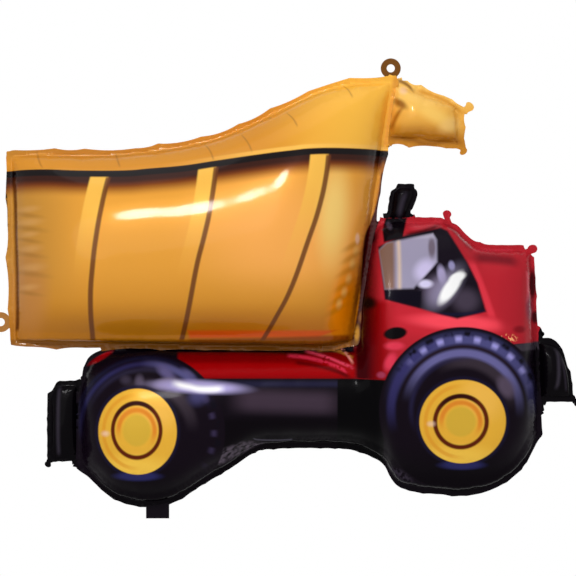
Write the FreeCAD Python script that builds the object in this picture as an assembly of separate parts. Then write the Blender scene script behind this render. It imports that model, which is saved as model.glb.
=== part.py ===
"""Foil party balloon in the shape of a dump truck: two printed films welded together at their rims.

Frame: +X is the way the truck points, +Z is up, and Y runs across the thickness. The two films
meet in the plane Y = 0. The origin is the centre of lift, the middle of the gas. Millimetres.
The right film (Y below 0) faces a viewer who sees the truck point to the right.

Each chamber's skin is a smooth surface led by half ellipses that stand on section lines, which run
from the chamber's upper weld to its lower weld. The rims, tabs and neck lie flat in the weld plane.
"""
import FreeCAD
import Part
from FreeCAD import Vector

import math
import os

# Film and weld
film = 0.8               # thickness of one film, a stand-in for 0.05 mm foil
rim_width = 6.0          # flat welded rim round each chamber
weld_width = 8.0         # weld between two neighbouring chambers

# Tipper bed
bed_back_x = -418.0      # back edge at the floor
bed_back_lean = 6.0      # how far the back edge's top lies behind its foot
bed_floor_z = -58.0
bed_floor_length = 538.0
bed_floor_sag = 8.0
bed_back_height = 294.0
bed_front_height = 411.0
bed_front_lean = 62.0    # how far the front edge's top lies ahead of its foot
bed_back_depth = 92.0
bed_front_depth = 104.0
bed_end_round = 150.0

# Bright band printed along the bed's top
band_back_drop = 30.0
band_front_drop = 109.0
band_ramp_share = 0.45   # where along the bed the band begins to rise

# Visor over the cab
visor_length = 100.0
visor_root_drop = 2.0    # its top at the root, under the bed's top
visor_root_height = 84.0
visor_tip_drop = 38.0
visor_tip_height = 58.0
visor_depth = 27.0
visor_end_round = 40.0

# Wheels, which are only printed on the film
rear_wheel_x = -207.0
rear_wheel_z = -201.0
rear_wheel_r = 116.0
rear_tyre_r = 113.0      # the printed tyre, just inside the chamber's edge
rear_hub_r = 67.0
rear_hub_squeeze = 0.92  # width over height of the hub
rear_hub_shift = 15.0    # hub's centre, behind its tyre's centre
front_wheel_x = 293.0
front_wheel_z = -168.0
front_wheel_r = 131.0
front_tyre_r = 133.0
front_hub_r = 66.0
front_hub_squeeze = 1.05
front_hub_drop = 21.0    # hub's centre, under its tyre's centre

# Chassis, cab and hood: one chamber from the rear wheel to the nose
fender_reach = 29.0      # how far the chamber's rear corner stands out of the rear wheel's circle
wheel_end_angle = 27.0   # the rear wheel's back is cut flat this far above and below its centre
wheel_end_reach = 3.0    # and the ends of that cut stand this far out of its circle
tank_low_z = -222.0
web_end_x = -20.0        # where the web behind the rear wheel meets the tank
web_slope_length = 38.0  # length of its slope down to the rear wheel
web_drop = 22.0          # and how far below the tank it hangs on its way there
web_reach = 25.0         # how far the web before the front wheel stands out of its circle
frame_line_z = -114.0    # foot of the red print
roof_drop = 223.0        # roof under the bed's front top, which leaves room for the stack
roof_front_x = 278.0
roof_round = 12.0        # radius of the roof's corners
hood_back_x = 318.0
hood_drop = 44.0         # hood under the roof
nose_x = 405.0
nose_round = 12.0
nose_low_angle = -17.0   # where on the front wheel's circle the nose's edge ends
rear_depth = 78.0
tank_depth = 68.0
cab_depth = 92.0
rear_end_round = 96.0
nose_end_round = 80.0

# Exhaust stack on the roof
stack_x = 205.0
stack_height = 47.0
stack_head_r = 15.0
stack_neck_r = 11.5
stack_lean = 12.0
stack_depth = 11.0

# Rear flap
flap_length = 39.0
flap_top_z = -131.0
flap_height = 112.0
flap_chamfer = 16.0
flap_depth = 9.0

# Front bumper
bumper_length = 46.0
bumper_top_z = -63.0
bumper_low_z = -148.0
bumper_tip_drop = 46.0
bumper_depth = 17.0

# Side window
window_back_x = 162.0
window_top_drop = 12.0   # its top under the roof
window_height = 138.0
window_front_x = 331.0
window_sill_rise = 24.0
window_pillar = 12.0
cab_print_reach = 185.0  # how far the red print runs on behind the cab

# Rim's own features
tab_r = 16.0
tab_hole_r = 6.5
tab_reach = 24.0         # from the chamber's edge to the tab's centre
tab_stem = 20.0
tab_back_z = -29.0
ear_r = 5.5              # rounded tip of the weld at a sharp corner
ear_reach = 14.0         # from the chamber's corner to the ear's centre
neck_width = 37.0
neck_length = 26.0
neck_shift = 16.0        # neck's middle, ahead of the rear wheel's centre

# Sections
end_steps = 6            # sections over each rounded end
middle_step = 18.0
bow_steps = 8            # arcs in each half section
far = 700.0              # further than any edge of the balloon

right = Vector(0, -1, 0)
roof_z = bed_floor_z + bed_front_height - roof_drop
hood_z = roof_z - hood_drop
window_top_z = roof_z - window_top_drop
window_low_z = window_top_z - window_height


def at(x, z):
    return Vector(x, 0, z)


def on_circle(x, z, r, degrees):
    """Point of a circle in the weld plane, counted from +X towards +Z."""
    angle = math.radians(degrees)
    return at(x + r * math.cos(angle), z + r * math.sin(angle))


def between(start, end, share):
    return start + (end - start) * share


def smooth_value(ways, values, way):
    """A smooth curve through values given at ways, which never swings past them."""
    slopes = [(v1 - v0) / (w1 - w0) for w0, w1, v0, v1 in zip(ways, ways[1:], values, values[1:])]
    bends = [slopes[0]]
    for one, two in zip(slopes, slopes[1:]):
        bends.append(0.0 if one * two <= 0 else 2 * one * two / (one + two))
    bends.append(slopes[-1])
    k = next((k for k in range(len(slopes)) if way <= ways[k + 1]), len(slopes) - 1)
    span = ways[k + 1] - ways[k]
    t = (way - ways[k]) / span
    start = values[k] * (1 + 2 * t) * (1 - t) ** 2 + values[k + 1] * t * t * (3 - 2 * t)
    return start + span * (bends[k] * t * (1 - t) ** 2 + bends[k + 1] * t * t * (t - 1))


class Chamber:
    """An inflated chamber: section lines from its top weld to its low weld, with a depth at each."""

    def __init__(self, lines, end_rounds):
        self.end_rounds = end_rounds
        self.lines = lines
        self.ways = [0.0]
        for (top, low, _), (next_top, next_low, _) in zip(lines, lines[1:]):
            step = (next_top + next_low - top - low).Length * 0.5
            self.ways.append(self.ways[-1] + step)
        self.length = self.ways[-1]

    def section(self, way):
        """The section line's top and low end, and the full depth, at a distance along the chamber."""
        rows = [(top.x, top.z, low.x, low.z, depth) for top, low, depth in self.lines]
        top_x, top_z, low_x, low_z, depth = [smooth_value(self.ways, row, way) for row in zip(*rows)]
        return at(top_x, top_z), at(low_x, low_z), depth

    def fullness(self, way):
        """Share of the full depth, which falls off in a quarter ellipse towards each end."""
        nearest = min(way / self.end_rounds[0], (self.length - way) / self.end_rounds[1], 1.0)
        return math.sqrt(1 - (1 - nearest) ** 2)

    def stations(self):
        """Distances along the chamber where a section stands, closer together at its ends."""
        start, finish = self.end_rounds[0], self.length - self.end_rounds[1]
        shares = [1 - math.cos(math.pi * 0.5 * k / end_steps) for k in range(end_steps)]
        count = max(1, round((finish - start) / middle_step))
        found = [start * share for share in shares]
        found += [between(start, finish, k / count) for k in range(count + 1)]
        return found + [self.length - self.end_rounds[1] * share for share in reversed(shares)]

    def skin(self, inset=0.0):
        """The chamber's right skin, drawn in by inset on every side: its faces and its weld line."""
        arc = half_circle()
        rows = []
        for station in self.stations():
            way = between(inset, self.length - inset, station / self.length)
            top, low, depth = self.section(way)
            across = (low - top).normalize() * inset
            most = (top - low).Length * 0.5 - inset - film * 0.25
            full = max(depth * self.fullness(station), film * 2)
            reach = (top - low) * 0.5 + across
            out = right * min(full - inset, most)
            rows.append([(top + low) * 0.5 + reach * pole.x + out * pole.y for pole in arc.getPoles()])
        surface = Part.BSplineSurface()
        mults, knots = clamped(len(rows))
        surface.buildFromPolesMultsKnots(
            rows, mults, arc.getMultiplicities(), knots, arc.getKnots(), False, False, 3, 3
        )
        u_first, u_last, v_first, v_last = surface.bounds()
        welds = [surface.vIso(v).toShape() for v in (v_first, v_last)]
        faces = [surface.toShape()]
        for u, row in ((u_first, rows[0]), (u_last, rows[-1])):
            closing = Part.makeLine(row[0], row[-1])
            faces.append(Part.Face(Part.Wire([surface.uIso(u).toShape(), closing])))
            welds.append(closing)
        return faces, Part.Wire(Part.sortEdges(welds)[0])

    def edge(self):
        """The chamber's closed weld line."""
        return self.skin()[1]

    def corners(self, grow):
        """Points round the chamber, grow outside its edge: along the top, and along the low side."""
        tops, lows = [], []
        for station in self.stations():
            top, low, _ = self.section(station)
            out = (top - low).normalize() * grow
            tops.append(top + out)
            lows.append(low - out)
        middle = [(top + low) * 0.5 for top, low in zip(tops, lows)]
        for end, beside in ((0, 1), (-1, -2)):
            out = (middle[end] - middle[beside]).normalize() * grow
            tops[end] += out
            lows[end] += out
        return tops, lows

    def outline(self, grow):
        """A closed smooth line in the weld plane, grow outside the chamber's edge."""
        tops, lows = self.corners(grow)
        edges = [spline(tops), Part.makeLine(tops[-1], lows[-1])]
        edges += [spline(lows), Part.makeLine(lows[0], tops[0])]
        return Part.Wire(Part.sortEdges(edges)[0])

    def field(self, grow):
        """The room of the chamber and its rim, bounded by short straight lines."""
        tops, lows = self.corners(grow)
        return prism(polygon(tops + lows[::-1]), film * 2)

    def film(self):
        """The right film: the skin between the chamber and its gas, flat on the weld plane."""
        faces, weld = self.skin()
        lining, inner_weld = self.skin(film)
        lip = Part.makeFace([weld, inner_weld], "Part::FaceMakerBullseye")
        shell = Part.Shell(faces + lining + lip.Faces)
        shell.sewShape()
        return Part.Solid(shell)


def clamped(count):
    """Knot multiplicities and knots of a cubic line led by count points and ending on its last."""
    spans = count - 3
    return [4] + [1] * (spans - 1) + [4], list(range(spans + 1))


def spline(points):
    """A smooth line led by its points, which never swings past them."""
    curve = Part.BSplineCurve()
    curve.buildFromPolesMultsKnots(points, *clamped(len(points)), False, 3)
    return curve.toShape()


def half_circle():
    """A cubic line along half a circle of radius 1, from +X over +Y to -X."""
    angles = [math.pi * k / bow_steps for k in range(bow_steps + 1)]
    curve = Part.BSplineCurve()
    curve.interpolate(
        Points=[Vector(math.cos(angle), math.sin(angle), 0) for angle in angles],
        Parameters=angles,
        InitialTangent=Vector(0, 1, 0),
        FinalTangent=Vector(0, -1, 0),
    )
    return curve


def prism(wire, depth=far):
    """Everything inside wires of the weld plane, to a depth on both sides of it."""
    face = Part.makeFace(wire, "Part::FaceMakerBullseye")
    return face.translated(right * depth).extrude(right * (-2 * depth))


def polygon(points):
    return Part.makePolygon(points + points[:1])


def circle(centre, r):
    return Part.Wire([Part.Circle(centre, right, r).toShape()])


def oval(centre, r, squeeze):
    """An ellipse in the weld plane, r high and squeeze times as wide."""
    tall, wide = centre + at(0, r), centre + at(r * squeeze, 0)
    first, second = (tall, wide) if squeeze < 1 else (wide, tall)
    return Part.Wire([Part.Ellipse(first, second, centre).toShape()])


def mirrored(shape):
    return shape.mirror(Vector(0, 0, 0), Vector(0, 1, 0))


def bed_front_line(share):
    """Point on the bed's front edge, from its foot at 0 to its top at 1."""
    foot = at(bed_back_x + bed_floor_length, bed_floor_z)
    return between(foot, foot + at(bed_front_lean, bed_front_height), share)


def bed_chamber():
    floor_back = at(bed_back_x, bed_floor_z)
    floor_front = bed_front_line(0.0)
    top_back = floor_back + at(-bed_back_lean, bed_back_height)
    top_front = bed_front_line(1.0)
    # share of the length at the top and at the floor, share of the rise, share of the sag
    shape = [
        (0.00, 0.00, 0.00, 0.00),
        (0.05, 0.04, 0.01, 0.25),
        (0.23, 0.25, 0.00, 0.40),
        (0.36, 0.36, 0.05, 0.50),
        (0.50, 0.48, 0.17, 0.65),
        (0.58, 0.58, 0.30, 0.75),
        (0.66, 0.67, 0.49, 0.85),
        (0.75, 0.75, 0.72, 0.95),
        (0.82, 0.83, 0.89, 1.00),
        (0.90, 0.92, 0.98, 1.00),
        (1.00, 1.00, 1.00, 0.00),
    ]
    lines = []
    for top_share, floor_share, rise_share, sag_share in shape:
        x = between(top_back.x, top_front.x, top_share)
        top = at(x, between(top_back.z, top_front.z, rise_share))
        low = between(floor_back, floor_front, floor_share) - at(0, bed_floor_sag * sag_share)
        lines.append((top, low, between(bed_back_depth, bed_front_depth, top_share)))
    return Chamber(lines, (bed_end_round, bed_end_round))


def visor_chamber():
    top_z = bed_front_line(1.0).z
    root_x = bed_front_line(1.0).x + weld_width
    lean = bed_front_lean / bed_front_height
    lines = []
    for share in (0.0, 0.3, 0.7, 1.0):
        high = top_z - between(visor_root_drop, visor_tip_drop, share)
        height = between(visor_root_height, visor_tip_height, share)
        x = root_x + visor_length * share
        low_x = x - height * lean * (1 - share)
        lines.append((at(x, high), at(low_x, high - height), visor_depth))
    return Chamber(lines, (visor_end_round, visor_end_round))


def rear(degrees, more=0.0):
    """Point round the rear wheel, more outside its circle."""
    return on_circle(rear_wheel_x, rear_wheel_z, rear_wheel_r + more, degrees)


def front(degrees, more=0.0):
    """Point round the front wheel, more outside its circle."""
    return on_circle(front_wheel_x, front_wheel_z, front_wheel_r + more, degrees)


def wheel_end(degrees):
    """An end of the rear wheel's flat back."""
    return rear(degrees, wheel_end_reach)


def lower_chamber():
    shelf_z = bed_floor_z - bed_floor_sag - weld_width
    corner = bed_front_line(0.0) + at(weld_width, -weld_width) * 1.8
    aside = at(weld_width, 0)
    roof_share = (roof_z - bed_floor_z) / bed_front_height
    roof_back = at(bed_front_line(roof_share).x + weld_width, roof_z)
    slope = at(hood_back_x - roof_front_x, hood_z - roof_z)
    web_foot_x = web_end_x - web_slope_length
    tank_back = web_end_x + web_slope_length
    tank_end = corner.x - web_slope_length
    hood = hood_back_x, nose_x

    def mix(share):
        return between(rear_depth, tank_depth, share)

    def below(ahead, drop):
        return at(corner.x + web_drop * ahead, tank_low_z - web_drop * drop)

    lines = [
        (wheel_end(180 - wheel_end_angle), wheel_end(180 + wheel_end_angle), rear_depth),
        (rear(146, fender_reach * 0.4), rear(217), rear_depth),
        (rear(130, fender_reach), rear(234), rear_depth),
        (rear(112, fender_reach * 0.6), rear(252), rear_depth),
        (at(rear_wheel_x, shelf_z), rear(270), rear_depth),
        (at(rear_wheel_x + rear_wheel_r * 0.4, shelf_z), rear(292), rear_depth),
        (at(rear_wheel_x + rear_wheel_r * 0.8, shelf_z), rear(314), mix(0.3)),
        (at(web_foot_x, shelf_z), at(web_foot_x, tank_low_z - web_drop), mix(0.7)),
        (at(web_end_x, shelf_z), at(web_end_x - web_drop * 0.5, tank_low_z - web_drop * 0.14), tank_depth),
        (at(tank_back, shelf_z), at(tank_back, tank_low_z), tank_depth),
        (at(tank_end, shelf_z), at(tank_end, tank_low_z), tank_depth),
        (corner, below(-0.2, 0.2), tank_depth),
        (bed_front_line(0.09) + aside, below(0.7, 0.6), tank_depth),
        (bed_front_line(0.24) + aside, below(web_slope_length / web_drop, 1.2), mix(0.5)),
        (bed_front_line(roof_share - 0.07) + aside, front(226, web_reach), cab_depth),
        (roof_back + at(roof_round * 0.2, -roof_round * 0.7), front(232, web_reach * 0.8), cab_depth),
        (roof_back + at(roof_round, 0), front(238, web_reach * 0.6), cab_depth),
        (roof_back + at(roof_round * 3, 0), front(246, web_reach * 0.3), cab_depth),
        (at(roof_front_x - roof_round * 4, roof_z), front(258), cab_depth),
        (at(roof_front_x - roof_round * 0.5, roof_z), front(270), cab_depth),
        (at(roof_front_x, roof_z) + slope * 0.15, front(278), cab_depth),
        (at(roof_front_x, roof_z) + slope * 0.85, front(290), cab_depth),
        (at(hood_back_x + roof_round, hood_z), front(298), cab_depth),
        (at(between(*hood, 0.6), hood_z), front(310), cab_depth),
        (at(nose_x - nose_round, hood_z), front(324), cab_depth),
        (at(nose_x, hood_z - nose_round * 0.33), front(360 + nose_low_angle), cab_depth),
    ]
    return Chamber(lines, (rear_end_round, nose_end_round))


def stack_chamber():
    foot_z = roof_z + weld_width
    # share of the height, and the half-width there
    shape = [
        (0.0, stack_neck_r * 1.1),
        (0.2, stack_neck_r),
        (0.5, stack_neck_r),
        (0.75, stack_head_r),
        (0.92, stack_head_r * 0.85),
        (1.0, stack_head_r * 0.45),
    ]
    lines = []
    for share, half in shape:
        x = stack_x - stack_lean * (1 - share)
        z = foot_z + stack_height * share
        lines.append((at(x - half, z), at(x + half, z), stack_depth))
    return Chamber(lines, (12.0, 14.0))


def flap_root_x():
    return wheel_end(180 - wheel_end_angle).x - weld_width


def flap_chamber():
    low_z = flap_top_z - flap_height
    # share of the length from the tip, share of the chamfer taken off the top
    shape = [(0.0, 1.0), (0.35, 0.0), (0.7, 0.0), (1.0, 0.0)]
    lines = []
    for share, cut in shape:
        x = flap_root_x() - flap_length * (1 - share)
        lines.append((at(x, flap_top_z - flap_chamfer * cut), at(x, low_z), flap_depth))
    return Chamber(lines, (12.0, 12.0))


def nose_edge(z):
    """The weld of the nose's edge at a height, where the bumper begins."""
    start, end = at(nose_x, hood_z), front(nose_low_angle)
    return between(start, end, (start.z - z) / (start.z - end.z)) + at(weld_width, 0)


def bumper_chamber():
    # share of the length from the root, share of the drop taken off the top
    shape = [(0.0, 0.0), (0.45, 0.0), (0.75, 0.28), (1.0, 1.0)]
    lines = []
    for share, cut in shape:
        top = nose_edge(bumper_top_z) + at(bumper_length * share, -bumper_tip_drop * cut)
        low = nose_edge(bumper_low_z) + at(bumper_length * share, 0)
        lines.append((top, low, bumper_depth))
    return Chamber(lines, (14.0, 14.0))


def tyre_zone(x, z, r):
    """A printed tyre: a disc, and all of the film below it out to the weld."""
    skirt = prism(polygon([at(x - r, z), at(x - r, -far), at(x + r, -far), at(x + r, z)]))
    return prism(circle(at(x, z), r)).fuse(skirt)


def band_zone():
    """The bright band along the bed's top."""
    top_front = bed_front_line(1.0)
    back_z = bed_floor_z + bed_back_height - band_back_drop
    front_z = top_front.z - band_front_drop
    ramp_x = between(bed_back_x, top_front.x, band_ramp_share)
    knee_x = between(ramp_x, top_front.x, 0.55)
    low = [at(-far, back_z), at(ramp_x, back_z), at(knee_x, front_z), at(far, front_z)]
    return prism(polygon(low + [at(far, far), at(-far, far)]))


def print_zones():
    """Prisms round the printed fields of the lower chamber, in the order in which they are cut."""
    cab_back_x = bed_front_line(0.0).x - cab_print_reach
    window = [
        at(window_back_x, window_low_z + window_sill_rise * 2),
        at(window_back_x, window_top_z - window_sill_rise * 0.5),
        at(roof_front_x - window_pillar, window_top_z),
        at(window_front_x, window_low_z + window_sill_rise),
        at(window_front_x - window_pillar * 2, window_low_z + window_sill_rise * 0.3),
        at(roof_front_x - window_pillar, window_low_z),
    ]
    cab = [at(cab_back_x, frame_line_z), at(far, frame_line_z), at(far, far), at(cab_back_x, far)]
    ahead = [at(front_wheel_x, frame_line_z), at(far, frame_line_z), at(far, -far), at(front_wheel_x, -far)]
    rear_hub = at(rear_wheel_x - rear_hub_shift, rear_wheel_z)
    front_hub = at(front_wheel_x, front_wheel_z - front_hub_drop)
    return {
        "rear_hub": prism(oval(rear_hub, rear_hub_r, rear_hub_squeeze)),
        "front_hub": prism(oval(front_hub, front_hub_r, front_hub_squeeze)),
        "rear_tyre": tyre_zone(rear_wheel_x, rear_wheel_z, rear_tyre_r),
        "front_tyre": tyre_zone(front_wheel_x, front_wheel_z, front_tyre_r).fuse(prism(polygon(ahead))),
        "cab_window": prism(polygon(window)),
        "cab": prism(polygon(cab)),
    }


def split_film(whole, zones, rest_name):
    """Cut a film along its print: the piece inside each zone, and the rest under its own name."""
    pieces = {}
    for name, zone in zones.items():
        pieces[name] = whole.common(zone)
        whole = whole.cut(zone)
    pieces[rest_name] = whole
    return pieces


def main_solid(shape):
    """The largest solid of a cut, without the slivers."""
    return max(shape.Solids, key=lambda solid: solid.Volume)


def stem(start, end, width, r):
    """A flat strip from start to end, with a round end of radius r."""
    side = (end - start).normalize().cross(right) * width * 0.5
    strip = prism(polygon([start + side, end + side, end - side, start - side]), film)
    return strip.fuse(prism(circle(end, r), film)).removeSplitter()


def ears():
    """The weld's stubby tips at its sharp corners, by chamber: a corner and the way it points."""
    visor_tip = bed_front_line(1.0) + at(weld_width + visor_length, -visor_tip_drop)
    flap_foot = at(flap_root_x() - flap_length, flap_top_z - flap_height)
    bumper_foot = nose_edge(bumper_low_z)
    return {
        "visor": [(visor_tip, at(0.75, 0.66)), (visor_tip - at(0, visor_tip_height), at(0.4, -0.9))],
        "lower": [(at(roof_front_x, roof_z), at(0.2, 1.0)), (at(nose_x, hood_z), at(0.8, 0.6))],
        "flap": [(flap_foot, at(-0.4, -0.9))],
        "bumper": [
            (bumper_foot, at(-0.1, -1.0)),
            (bumper_foot + at(bumper_length, 0), at(0.7, -0.7)),
            (nose_edge(bumper_top_z), at(0.2, 1.0)),
        ],
    }


def rim_plate(name, chamber, fields):
    """The flat weld round a chamber with its ears, which gives way to other chambers' fields."""
    outer = chamber.outline(rim_width)
    rim = cleared(prism([outer, chamber.edge()], film), fields)
    for corner, way in ears().get(name, []):
        ear = stem(corner, corner + way.normalize() * ear_reach, ear_r * 1.4, ear_r)
        rim = rim.fuse(cleared(ear, fields + [prism([outer], film * 2)]))
    return rim


def cleared(plate, fields):
    """A plate without what lies in any of the fields; its largest piece stays."""
    for field in fields:
        if field.BoundBox.intersect(plate.BoundBox):
            plate = main_solid(plate.cut(field))
    return plate


def hang_tab(root, centre, fields):
    """A round tab with a hole for a ribbon, on a short stem out of the rim."""
    return cleared(stem(root, centre, tab_stem, tab_r).cut(prism(circle(centre, tab_hole_r), film)), fields)


def filling_neck(fields):
    """The flat tail that the gas goes in by, sealed after filling."""
    middle = at(rear_wheel_x + neck_shift, rear_wheel_z)
    half, low = at(neck_width * 0.5, 0), at(0, rear_wheel_r + neck_length)
    outline = polygon([middle - half, middle + half, middle + half - low, middle - half - low])
    return cleared(prism(outline, film), fields)


def flat_pieces(chambers):
    """Everything that lies in the weld plane: the rims, the hang tabs and the filling neck."""
    pieces, fields = {}, []
    for name, chamber in chambers.items():
        pieces[name + "_rim"] = rim_plate(name, chamber, fields)
        fields.append(chamber.field(rim_width))
    back, top = at(bed_back_x, tab_back_z), bed_front_line(1.0)
    pieces["back_hang_tab"] = hang_tab(back, back - at(tab_reach, 0), fields)
    pieces["top_hang_tab"] = hang_tab(top, top + at(0, tab_reach), fields)
    pieces["filling_neck"] = filling_neck(fields)
    return pieces


def right_films(chambers):
    """The films that face -Y, cut along their print."""
    films = split_film(chambers["bed"].film(), {"bed_band": band_zone()}, "bed_panel")
    films.update(split_film(chambers["lower"].film(), print_zones(), "chassis"))
    for name in ("visor", "stack", "flap", "bumper"):
        films[name] = chambers[name].film()
    return films


def write(name, shape):
    shape.exportStep("parts/%s.step" % name)


def main():
    chambers = {
        "bed": bed_chamber(),
        "lower": lower_chamber(),
        "visor": visor_chamber(),
        "stack": stack_chamber(),
        "flap": flap_chamber(),
        "bumper": bumper_chamber(),
    }
    os.makedirs("parts", exist_ok=True)
    for name, shape in flat_pieces(chambers).items():
        write(name, shape)
    for name, shape in right_films(chambers).items():
        write(name + "_film_right", shape)
        write(name + "_film_left", mirrored(shape))


main()
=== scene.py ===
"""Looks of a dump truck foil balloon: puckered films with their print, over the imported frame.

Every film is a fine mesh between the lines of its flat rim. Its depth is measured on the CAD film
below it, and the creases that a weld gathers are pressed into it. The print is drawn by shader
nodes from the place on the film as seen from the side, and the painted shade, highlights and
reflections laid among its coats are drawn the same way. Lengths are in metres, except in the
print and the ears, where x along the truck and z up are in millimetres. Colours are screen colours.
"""

import math

import bpy
import numpy as np
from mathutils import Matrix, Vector
from mathutils.bvhtree import BVHTree
from mathutils.geometry import delaunay_2d_cdt
from mathutils.kdtree import KDTree


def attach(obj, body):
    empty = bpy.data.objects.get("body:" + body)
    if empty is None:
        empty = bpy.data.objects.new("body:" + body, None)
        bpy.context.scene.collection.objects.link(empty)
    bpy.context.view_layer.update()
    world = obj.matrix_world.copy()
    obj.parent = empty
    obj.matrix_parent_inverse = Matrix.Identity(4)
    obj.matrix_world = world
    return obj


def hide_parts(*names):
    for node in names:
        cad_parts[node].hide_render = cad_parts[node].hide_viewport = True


# Mesh of the films
grid_step = 0.0042        # between points in the middle of a film
weld_step = 0.0026        # between points along a weld
rim_step = 0.0025         # between points on a rim
near_step = 0.001         # between the points of a line that distances are taken to
ring_count = 7            # rows of points beside the weld, each with a wider gap than the last
ring_first = 0.000256     # the first row's distance from the weld
ring_share = 0.93         # of a row's distance: its points that lie nearer to the weld are left out
ring_slack = 0.00005      # by which they may lie nearer still
grid_clear = 0.6          # how far a film's grid keeps from the last row, in steps
rim_clear = 0.5           # how far a rim's grid keeps from the weld, in steps
ray_asides = (0.0, 0.0002, -0.0002)     # where a ray is tried in turn, as it may slip through a seam
evening_rounds = 3
evening_share = 0.6       # how far a value goes to its neighbours' mean in a round
rim_thickness = 0.0003    # of both films together
on_rim, on_weld, in_chamber = range(3)

# Creases that a weld gathers: cell along the weld, reach over the film, depth
creases = [
    (0.014, 0.032, 0.0014),
    (0.027, 0.065, 0.0030),
    (0.052, 0.105, 0.0040),
]
crease_root = 0.15        # share of its reach over which a crease deepens from the weld
crease_fill = 1.3         # a crease's greatest reach, against the chamber's half width
crease_stray = 0.32       # how far a crease may lie from its even place, in cells
crease_slope = 2.6        # more than 1 makes creases narrow and the puffs between them broad
crease_weakest = 0.1      # before rarity, with 1 for the strongest
crease_rarity = 1.3       # more than 1 makes strong creases rarer
crease_rise = 0.7         # less than 1 makes a crease deep soon after the weld
crease_fall = 1.6         # more than 1 makes it fade early

# Slow unevenness of a full film
swell_size = 0.110        # middling length of its waves
swell_depth = 0.0004
swell_reach = 0.04        # from the weld to where it is full
swell_waves = 7
swell_spread = (0.7, 1.6)     # shortest and longest wave, against swell_size

# Rim: its waves out of the weld plane, and the lumps of its outer line
rim_wave = 0.0016
rim_wave_cell = 0.011
rim_wave_level = 0.3      # how much of a wave lies on the other side of the weld plane
rim_ease = 0.005          # from the weld to where the rim moves in full
rim_reach = 0.0075        # the rim's width
ear_reach = 0.020         # out to here the ears move with it, ever less
rim_spread = 0.0022       # how far the rim moves outwards
rim_forward = {"bed": 0.0020}     # rims that lie before their neighbours
meeting_gap = 0.009       # rims of two chambers this near each other are drawn together
meeting_share = 0.8       # each by this share of the gap
meeting_lap = 0.0015      # and this much more
lump_seed, wave_seed = 3, 5       # alike for both films, so that their rims lie together

# Gloss of printed foil
bright_gloss = {
    "Metallic": 0.06,
    "Roughness": 0.32,
    "Specular IOR Level": 0.03,
    "Coat Weight": 0.26,
    "Coat Roughness": 0.08,
}
dark_gloss = {
    "Metallic": 0.05,
    "Roughness": 0.3,
    "Specular IOR Level": 0.02,
    "Coat Weight": 0.035,
    "Coat Roughness": 0.08,
}

# Fine dents of foil: their size in millimetres, and their height
dent_size = 9
dent_height = 0.001

# Bed: the foot of its bright ledge, and the border of the cab's maroon near its front weld
ledge_line = [
    (-443, 209), (-379, 213), (-315, 211), (-243, 211), (-203, 214), (-155, 218),
    (-99, 226), (-43, 234), (21, 242), (69, 246), (117, 246), (189, 243),
]
maroon_line = [(117, -66), (123, -42), (131, 6), (135, 54), (139, 102), (149, 131), (160, 166), (168, 222)]

# Ribs of the bed: the bright stripe's borders at its top, and the dark line from its top down
ribs = [
    (-298, -269, [(-267, 202), (-275, 166), (-285, 110), (-291, 62), (-295, 6), (-293, -59)]),
    (-126, -98, [(-96, 218), (-106, 147), (-114, 110), (-125, 67), (-142, -18), (-152, -58)]),
    (51, 80, [(82, 237), (77, 198), (66, 150), (50, 102), (21, 22), (-2, -22), (-27, -64)]),
]

# Painted shade in the creases over the bed's bright ledge
ledge_crease_shadows = [
    [(-384, 243), (-379, 227), (-374, 218)],
    [(-258, 240), (-253, 227), (-250, 219)],
    [(-115, 254), (-106, 243), (-101, 230)],
    [(-56, 269), (-46, 256), (-40, 243)],
    [(16, 304), (26, 294), (32, 283)],
    [(106, 349), (114, 341), (120, 330)],
]

# Puckers beside the bed's back weld, with their reach, and beside its front weld, where a painted highlight
# and painted shade are laid
back_pucker_shading = [
    (-395, 146, 15), (-394, 125, 18), (-394, 106, 13),
    (-392, 83, 16), (-390, 53, 19), (-394, 22, 14),
]
front_pucker_shading = [(128, 104), (126, 85), (120, 64), (114, 40), (107, 19), (99, 0)]

# Painted glints on the folds at the frame's front end, with the gold that the bed's weld leaves there
frame_fold_glints = [
    ([(18, -82), (46, -85), (82, -94), (110, -107)], 5.4, (214, 44, 74)),
    ([(46, -75), (75, -83), (101, -93), (120, -101)], 4.2, (232, 70, 100)),
    ([(66, -74), (85, -72), (104, -77), (120, -85)], 4.8, (196, 132, 52)),
    ([(98, -67), (109, -77), (120, -93)], 4.2, (240, 150, 140)),
]

# Cab: the foot of its red over the front tyre, its window, and the bright pane in it
cab_foot_line = [(117, -117), (261, -117), (357, -66), (429, -62)]
window_corners = [
    (161, 91), (190, 106), (261, 122), (272, 117), (302, 67),
    (318, 34), (331, -12), (285, -23), (258, -16), (171, 8),
]
pane_corners = [(162, 85), (174, 97), (248, 112), (254, 102), (254, 67), (216, 25), (171, 24)]

# Wheels: centre and radius of tyre, hub and groove
front_tyre, front_tyre_r = (294, -168), 132
front_hub, front_hub_r = (294, -186), 66.4
front_groove, front_groove_r = (291, -186), 40.8
rear_tyre, rear_tyre_r = (-207, -202), 124.8
rear_hub, rear_hub_r = (-221, -202), 68
rear_groove, rear_groove_r = (-222, -200), 43.2

front_print_x = 0.109     # metres; where the lower chamber's front print takes over

# Corner ears of the rims: centre, shift, growth and reach
ears = {
    "visor": [((301, 325), (6.4, -9.6), 0.5, 16), ((296, 250), (3.2, 1.6), 0.2, 11.2)],
    "lower": [((280, 144), (-9.6, 0), 0.2, 14.4), ((414, 94), (-9.6, -8), 0.4, 14.4)],
}
ear_core = 0.3            # share of its reach within which an ear moves in full

# Camera, with the photograph's frame
frame_width = 0.9216
frame_centre_x = 0.0176
frame_centre_z = 0.0256
camera_distance = 7.0

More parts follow.
